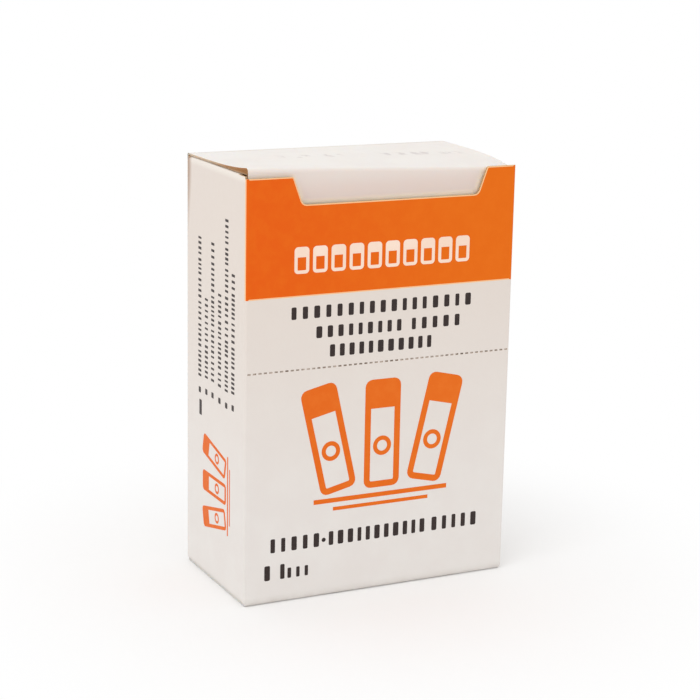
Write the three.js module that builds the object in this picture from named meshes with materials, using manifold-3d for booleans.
// A tuck-end carton of fifty microscope slides.
//
// The carton is folded from one sheet of white-faced board: four walls closed by a seam flap
// at the back left corner, a glued bottom, two dust flaps, and a lid with a tuck flap. The
// slides stand on end inside it, side by side. The lid sits as it does on a carton in use:
// its front left corner stands proud and its front right corner is pushed in.
//
// Millimetres, +Z up. Origin at the centre of the bottom. The front panel faces -Y and the left
// panel faces -X.

import * as THREE from 'three';
import { mergeVertices } from 'three/addons/utils/BufferGeometryUtils.js';
import Module from 'manifold-3d';

const wasm = await Module();
wasm.setup();

// Driving dimensions -----------------------------------------------------------------------

// Glass slides
const slideCount = 50;
const slideLength = 76.2;
const slideWidth = 25.4;
const slideThickness = 1.05;
const slideAirGap = 0.02;

// Board and its folds
const board = 0.4;
const wallFoldRadius = 0.5;
const bottomFoldRadius = 0.8;
const lidFoldRadius = 0.8;
const dustFoldRadius = 0.5;

// Room round the slides
const sidePlay = 0.3;
const backPlay = 0.3;
const headroom = 2.8;

// Heights of the walls above and below the front panel's top edge
const leftShoulderRise = 0.4;
const rightShoulderRise = -0.5;
const hingeRise = 0.5;

// Seam flap, glued inside the back panel, and the step that the back panel's cut edge leaves
const seamFlapWidth = 11;
const seamFlapEndCut = 6;
const seamStep = 0.25;

// Bottom: the outer closing flap folds from the front panel over two side flaps
const closingFlapInset = 0.35;
const bottomFlapGap = 0.6;

// Thumb notch in the front panel's top edge
const notchTopWidth = 39.6;
const notchFloorWidth = 35.6;
const notchDepth = 5.1;
const notchOffset = 1.5;
const notchFloorCornerRadius = 0.7;
const notchLipRadius = 0.3;

// Tear line across the front panel
const tearLineHeight = 44.4;
const tearSlitLength = 0.62;
const tearSlitHeight = 0.3;
const tearSlitPitch = 1.065;

// Dust flaps
const dustFlapLength = 19;
const dustFlapFrontSetback = 3.5;
const dustFlapBackSetback = 1.2;
const dustFlapFrontTaper = 2.5;
const dustFlapBackTaper = 3;
const dustFlapSlope = THREE.MathUtils.degToRad(3.5);

// Lid, a little narrower at its front than at its hinge, with the height that its front corners
// stand above or below the hinge
const lidBackInset = 0.25;
const lidFrontInset = 0.7;
const lidLeftCornerRise = 0.9;
const lidRightCornerDrop = 1.25;
const lidBend = 4;
const lidHingeRadius = 0.35;

// Tuck flap
const tuckGap = 0.35;
const tuckLean = 0.8;
const tuckLength = 9;
const tuckPlay = 0.3;
const tuckCornerRadius = 5;

// Worked out from the driving dimensions ---------------------------------------------------

const slidePitch = slideThickness + slideAirGap;
const stackWidth = slideCount * slidePitch - slideAirGap;
const innerWidth = stackWidth + 2 * sidePlay;
const outerWidth = innerWidth + 2 * board;
const innerDepth = board + backPlay + slideWidth + tuckPlay + board + tuckLean + tuckGap;
const outerDepth = innerDepth + 2 * board;

const left = -outerWidth / 2;
const right = outerWidth / 2;
const front = -outerDepth / 2;
const back = outerDepth / 2;

const floorTop = 2 * board;
const frontHeight = floorTop + slideLength + headroom;
const leftHeight = frontHeight + leftShoulderRise;
const rightHeight = frontHeight + rightShoulderRise;
const hingeHeight = frontHeight + hingeRise;

const tuckFace = front + board + tuckGap;
const lidFoldY = tuckFace + lidFoldRadius;
const lidFoldZ = hingeHeight + board - lidFoldRadius;

const through = 2;

// Solids from shapes -----------------------------------------------------------------------

function toSolid(geometry) {
  const bare = geometry.clone();
  bare.deleteAttribute('normal');
  bare.deleteAttribute('uv');
  const merged = mergeVertices(bare, 1e-5);
  return new wasm.Manifold(new wasm.Mesh({
    numProp: 3,
    vertProperties: Float32Array.from(merged.attributes.position.array),
    triVerts: Uint32Array.from(merged.index.array),
  }));
}

function toGeometry(solid) {
  const mesh = solid.getMesh();
  const geometry = new THREE.BufferGeometry();
  geometry.setAttribute('position', new THREE.BufferAttribute(mesh.vertProperties, 3));
  geometry.setIndex(new THREE.BufferAttribute(mesh.triVerts, 1));
  geometry.computeVertexNormals();
  return geometry;
}

const along = (x, y, z) => new THREE.Matrix4().makeBasis(
  new THREE.Vector3(...x), new THREE.Vector3(...y), new THREE.Vector3(...z));

// A shape drawn in plan, raised from one height to another.
function prismUp(shape, low, high, curveSegments = 3) {
  const geometry = new THREE.ExtrudeGeometry(
    shape, { depth: high - low, bevelEnabled: false, curveSegments });
  return geometry.translate(0, 0, low);
}

// A shape drawn as (y, z), carried along X.
function prismAcross(shape, low, high, steps = 1, curveSegments = 3) {
  const geometry = new THREE.ExtrudeGeometry(
    shape, { depth: high - low, steps, bevelEnabled: false, curveSegments });
  return geometry.applyMatrix4(along([0, 1, 0], [0, 0, 1], [1, 0, 0])).translate(low, 0, 0);
}

// A shape drawn as (x, z), carried along Y.
function prismBackward(shape, low, high, curveSegments = 3) {
  const geometry = new THREE.ExtrudeGeometry(
    shape, { depth: high - low, bevelEnabled: false, curveSegments });
  return geometry.applyMatrix4(along([1, 0, 0], [0, 0, 1], [0, -1, 0])).translate(0, high, 0);
}

function block(x0, x1, y0, y1, z0, z1) {
  const geometry = new THREE.BoxGeometry(x1 - x0, y1 - y0, z1 - z0);
  return toSolid(geometry.translate((x0 + x1) / 2, (y0 + y1) / 2, (z0 + z1) / 2));
}

// Carton body ------------------------------------------------------------------------------

const quarter = Math.PI / 2;

// Seen from above: three folded corners, and at the back left the back panel's cut edge, which
// stops beside the corner where the seam flap folds in behind it.
function planOutline() {
  const fold = wallFoldRadius;
  const seamFoldY = back - board - fold;
  const seamAngle = Math.acos(1 - seamStep / fold);
  const shape = new THREE.Shape();
  shape.moveTo(left, seamFoldY);
  shape.lineTo(left, front + fold);
  shape.absarc(left + fold, front + fold, fold, 2 * quarter, 3 * quarter, false);
  shape.lineTo(right - fold, front);
  shape.absarc(right - fold, front + fold, fold, -quarter, 0, false);
  shape.lineTo(right, back - fold);
  shape.absarc(right - fold, back - fold, fold, 0, quarter, false);
  shape.lineTo(left + seamStep, back);
  shape.absarc(left + fold, seamFoldY, fold, 2 * quarter - seamAngle, 2 * quarter, false);
  return shape;
}

// Half of a foot, from the closing flap's cut edge out and up round the wall's lower fold.
function footBesideFlap(shape, wall, side) {
  const foldZ = board + bottomFoldRadius;
  const angle = Math.acos(1 - closingFlapInset / bottomFoldRadius);
  const from = side > 0 ? -angle : 2 * quarter;
  const to = side > 0 ? 0 : 2 * quarter + angle;
  const centre = wall - side * bottomFoldRadius;
  if (side > 0) {
    shape.lineTo(wall - closingFlapInset, 0);
    shape.absarc(centre, foldZ, bottomFoldRadius, from, to, false);
  } else {
    shape.absarc(centre, foldZ, bottomFoldRadius, from, to, false);
    shape.lineTo(wall + closingFlapInset, 0);
  }
}

// Seen from the front: the closing flap stands out below the side walls' folds.
function frontOutline() {
  const shape = new THREE.Shape();
  shape.moveTo(right, hingeHeight + through);
  shape.lineTo(left, hingeHeight + through);
  footBesideFlap(shape, left, -1);
  footBesideFlap(shape, right, 1);
  return shape;
}

// Seen from the left: the front panel folds under as the closing flap, which ends at the back.
function sideOutline() {
  const fold = bottomFoldRadius;
  const shape = new THREE.Shape();
  shape.moveTo(front, hingeHeight + through);
  shape.lineTo(front, fold);
  shape.absarc(front + fold, fold, fold, 2 * quarter, 3 * quarter, false);
  footBesideFlap(shape, back, 1);
  shape.lineTo(back, hingeHeight + through);
  return shape;
}

// The left panel runs on round the corner as a flap, glued inside the back panel.
function seamFlap() {
  const near = left + board + seamFlapWidth;
  const crest = leftHeight - 2 * dustFoldRadius;
  const shape = new THREE.Shape();
  shape.moveTo(left, floorTop);
  shape.lineTo(left + board, floorTop);
  shape.lineTo(near, floorTop + seamFlapEndCut);
  shape.lineTo(near, crest - seamFlapEndCut);
  shape.lineTo(left + board, crest);
  shape.lineTo(left, crest);
  return toSolid(prismBackward(shape, back - 2 * board, back));
}

function room() {
  return block(
    left + board, right - board, front + board, back - board, floorTop, hingeHeight + through)
    .subtract(seamFlap());
}

// The two side flaps of the bottom meet over the closing flap, with a narrow gap between them.
function bottomGap() {
  return block(
    -bottomFlapGap / 2, bottomFlapGap / 2, front + board, back - board, board, floorTop + board);
}

function dustFoldSpan() {
  return [front + dustFlapFrontSetback, back - board - dustFlapBackSetback];
}

// What lies above the walls, and above the feet of the folds that the dust flaps turn on.
function wallTopCuts() {
  const top = hingeHeight + through;
  const foldFoot = 2 * dustFoldRadius;
  const [foldFront, foldBack] = dustFoldSpan();
  return [
    block(left - through, right + through, front - through, front + board, frontHeight, top),
    block(left - through, 0, front + board, back - board, leftHeight, top),
    block(0, right + through, front + board, back - board, rightHeight, top),
    block(left - through, left + board + through, foldFront, foldBack, leftHeight - foldFoot, top),
    block(right - board - through, right + through, foldFront, foldBack,
      rightHeight - foldFoot, top),
  ];
}

// A dust flap on the right wall: it folds over the wall's top and slopes gently inwards.
function dustFlap(height) {
  const foot = height - 2 * dustFoldRadius - board;
  const centreX = right - dustFoldRadius;
  const centreZ = height - dustFoldRadius;
  const inner = dustFoldRadius - board;
  const reach = dustFlapLength - dustFoldRadius;
  const slope = dustFlapSlope;
  const at = (radius, distance) => [
    centreX - Math.sin(slope) * radius - Math.cos(slope) * distance,
    centreZ + Math.cos(slope) * radius - Math.sin(slope) * distance];
  const section = new THREE.Shape();
  section.moveTo(right - board, foot);
  section.lineTo(right, foot);
  section.absarc(centreX, centreZ, dustFoldRadius, 0, quarter + slope, false);
  section.lineTo(...at(dustFoldRadius, reach));
  section.lineTo(...at(inner, reach));
  section.absarc(centreX, centreZ, inner, quarter + slope, 0, true);

  const [foldFront, foldBack] = dustFoldSpan();
  const neck = right - 2 * dustFoldRadius;
  const tip = right - dustFlapLength - through;
  const outline = new THREE.Shape();
  outline.moveTo(right + through, foldFront);
  outline.lineTo(right + through, foldBack);
  outline.lineTo(neck, foldBack);
  outline.lineTo(tip, foldBack - dustFlapBackTaper);
  outline.lineTo(tip, foldFront + dustFlapFrontTaper);
  outline.lineTo(neck, foldFront);
  return toSolid(prismBackward(section, foldFront - through, foldBack + through))
    .intersect(toSolid(prismUp(outline, foot - through, height + through)));
}

function thumbNotch() {
  const sill = frontHeight - notchDepth;
  const topHalf = notchTopWidth / 2;
  const floorHalf = notchFloorWidth / 2;
  const round = notchFloorCornerRadius;
  const lip = notchLipRadius;
  const half = [
    [topHalf + lip, frontHeight], [topHalf, frontHeight], [topHalf - lip / 2, frontHeight - lip],
    [floorHalf + round / 2, sill + round], [floorHalf, sill], [floorHalf - round, sill]];
  const place = ([reach, z], side) => [notchOffset + side * reach, z];
  const shape = new THREE.Shape();
  shape.moveTo(...place([topHalf + lip, frontHeight + through], -1));
  shape.lineTo(...place(half[0], -1));
  shape.quadraticCurveTo(...place(half[1], -1), ...place(half[2], -1));
  shape.lineTo(...place(half[3], -1));
  shape.quadraticCurveTo(...place(half[4], -1), ...place(half[5], -1));
  shape.lineTo(...place(half[5], 1));
  shape.quadraticCurveTo(...place(half[4], 1), ...place(half[3], 1));
  shape.lineTo(...place(half[2], 1));
  shape.quadraticCurveTo(...place(half[1], 1), ...place(half[0], 1));
  shape.lineTo(...place([topHalf + lip, frontHeight + through], 1));
  return toSolid(prismBackward(shape, front - through, front + board + tuckGap / 2));
}

// Slits cut right through the front panel, so that its upper part can be torn off.
function tearLine() {
  const span = outerWidth - 2 * wallFoldRadius - tearSlitLength;
  const slits = Math.floor(span / tearSlitPitch) + 1;
  const first = -(slits - 1) * tearSlitPitch / 2;
  return Array.from({ length: slits }, (_, i) => {
    const x = first + i * tearSlitPitch;
    return block(
      x - tearSlitLength / 2, x + tearSlitLength / 2, front - through, front + board + tuckGap / 2,
      tearLineHeight - tearSlitHeight / 2, tearLineHeight + tearSlitHeight / 2);
  });
}

function cartonBody() {
  let solid = toSolid(prismUp(planOutline(), 0, hingeHeight))
    .intersect(toSolid(prismBackward(frontOutline(), front - through, back + through)))
    .intersect(toSolid(prismAcross(sideOutline(), left - through, right + through)))
    .subtract(room())
    .subtract(bottomGap());
  for (const cut of wallTopCuts()) solid = solid.subtract(cut);
  return solid
    .add(dustFlap(rightHeight))
    .add(dustFlap(leftHeight).mirror([1, 0, 0]))
    .subtract(thumbNotch())
    .subtract(wasm.Manifold.union(tearLine()));
}

// Lid and tuck flap ------------------------------------------------------------------------

// How far along the lid a point is, from 0 at its hinge to 1 at its front fold.
function alongLid(y) {
  return THREE.MathUtils.clamp((back - board - y) / (back - board - lidFoldY), 0, 1);
}

// How far the lid stands above its flat place: it is flat at its hinge and bends towards its
// front edge, which runs straight from the raised left corner to the lowered right one.
function lidRise(x, run) {
  const share = (x - left) / outerWidth;
  const frontRise = lidLeftCornerRise * (1 - share) - lidRightCornerDrop * share;
  return frontRise * run ** lidBend;
}

// The lid is widest at its hinge, and as wide as the tuck flap at its front fold.
function lidWidening(run) {
  const frontHalf = outerWidth / 2 - lidFrontInset;
  return 1 + (1 - run) * (lidFrontInset - lidBackInset) / frontHalf;
}

// Takes a flat sheet, as wide as the tuck flap, to the shape of the lid in use.
function springUp(geometry, along) {
  const place = geometry.attributes.position;
  for (let i = 0; i < place.count; i += 1) {
    const run = along(place.getY(i));
    const x = place.getX(i) * lidWidening(run);
    place.setX(i, x);
    place.setZ(i, place.getZ(i) + lidRise(x, run));
  }
  return geometry;
}

const mitre = 0.75 * Math.PI;

// The lid ends at its front in half of the rounded fold, and at its back over the back panel.
function lidPanel() {
  const bays = 18;
  const top = hingeHeight + board;
  const inner = lidFoldRadius - board;
  const reach = back - board - lidFoldY;
  const shape = new THREE.Shape();
  shape.moveTo(back - board, hingeHeight);
  shape.lineTo(back, hingeHeight);
  shape.absarc(back - lidHingeRadius, top - lidHingeRadius, lidHingeRadius, 0, Math.PI / 2, false);
  for (let i = 0; i < bays; i += 1) shape.lineTo(back - board - reach * i / bays, top);
  shape.absarc(lidFoldY, lidFoldZ, lidFoldRadius, Math.PI / 2, mitre, false);
  shape.absarc(lidFoldY, lidFoldZ, inner, mitre, Math.PI / 2, true);
  for (let i = bays - 1; i > 0; i -= 1) {
    shape.lineTo(back - board - reach * i / bays, hingeHeight);
  }
  const sheet = prismAcross(shape, left + lidFrontInset, right - lidFrontInset, 12);
  return toSolid(springUp(sheet, alongLid));
}

// The tuck flap takes up the other half of the fold and leans in towards its free edge, whose
// corners are rounded.
function tuckFlap() {
  const lean = Math.atan(tuckLean / tuckLength);
  const inner = lidFoldRadius - board;
  const at = (radius, distance) => [
    lidFoldY - Math.cos(lean) * radius + Math.sin(lean) * distance,
    lidFoldZ - Math.sin(lean) * radius - Math.cos(lean) * distance];
  const section = new THREE.Shape();
  section.absarc(lidFoldY, lidFoldZ, lidFoldRadius, mitre, Math.PI + lean, false);
  section.lineTo(...at(lidFoldRadius, tuckLength));
  section.lineTo(...at(inner, tuckLength));
  section.absarc(lidFoldY, lidFoldZ, inner, Math.PI + lean, mitre, true);

  const x0 = left + lidFrontInset;
  const x1 = right - lidFrontInset;
  const round = tuckCornerRadius;
  const freeEdge = at(lidFoldRadius, tuckLength)[1];
  const outline = new THREE.Shape();
  outline.moveTo(x0, lidFoldZ + through);
  outline.lineTo(x0, freeEdge + round);
  outline.absarc(x0 + round, freeEdge + round, round, 2 * quarter, 3 * quarter, false);
  outline.lineTo(x1 - round, freeEdge);
  outline.absarc(x1 - round, freeEdge + round, round, -quarter, 0, false);
  outline.lineTo(x1, lidFoldZ + through);
  const flat = toSolid(prismAcross(section, x0 - through, x1 + through))
    .intersect(toSolid(prismBackward(outline, tuckFace - through, lidFoldY + through, 6)));
  return toSolid(springUp(toGeometry(flat), () => 1));
}

// Slides -----------------------------------------------------------------------------------

function slideAt(index) {
  const geometry = new THREE.BoxGeometry(slideThickness, slideWidth, slideLength);
  const mesh = new THREE.Mesh(geometry, glass);
  mesh.name = `slide_${String(index + 1).padStart(2, '0')}`;
  mesh.position.set(
    -stackWidth / 2 + slideThickness / 2 + index * slidePitch,
    back - 2 * board - backPlay - slideWidth / 2,
    floorTop + slideLength / 2);
  return mesh;
}

// Scene graph ------------------------------------------------------------------------------

const printedBoard = new THREE.MeshStandardMaterial({
  color: 0xe6dfd8, roughness: 0.55, metalness: 0, name: 'printed board' });
const lidBoard = new THREE.MeshStandardMaterial({
  color: 0xefebe6, roughness: 0.55, metalness: 0, name: 'lid board' });
const flapBoard = new THREE.MeshStandardMaterial({
  color: 0xe1d3c8, roughness: 0.55, metalness: 0, name: 'flap board' });
const glass = new THREE.MeshStandardMaterial({
  color: 0xc4d9d2, roughness: 0.08, metalness: 0, transparent: true, opacity: 0.35,
  name: 'slide glass' });

function named(name, solid, material) {
  const mesh = new THREE.Mesh(toGeometry(solid), material);
  mesh.name = name;
  return mesh;
}

const group = new THREE.Group();
group.name = 'microscope_slide_carton';
group.add(named('carton_body', cartonBody(), printedBoard));
group.add(named('lid_panel', lidPanel(), lidBoard));
group.add(named('tuck_flap', tuckFlap(), flapBoard));
for (let i = 0; i < slideCount; i += 1) group.add(slideAt(i));

export default group;
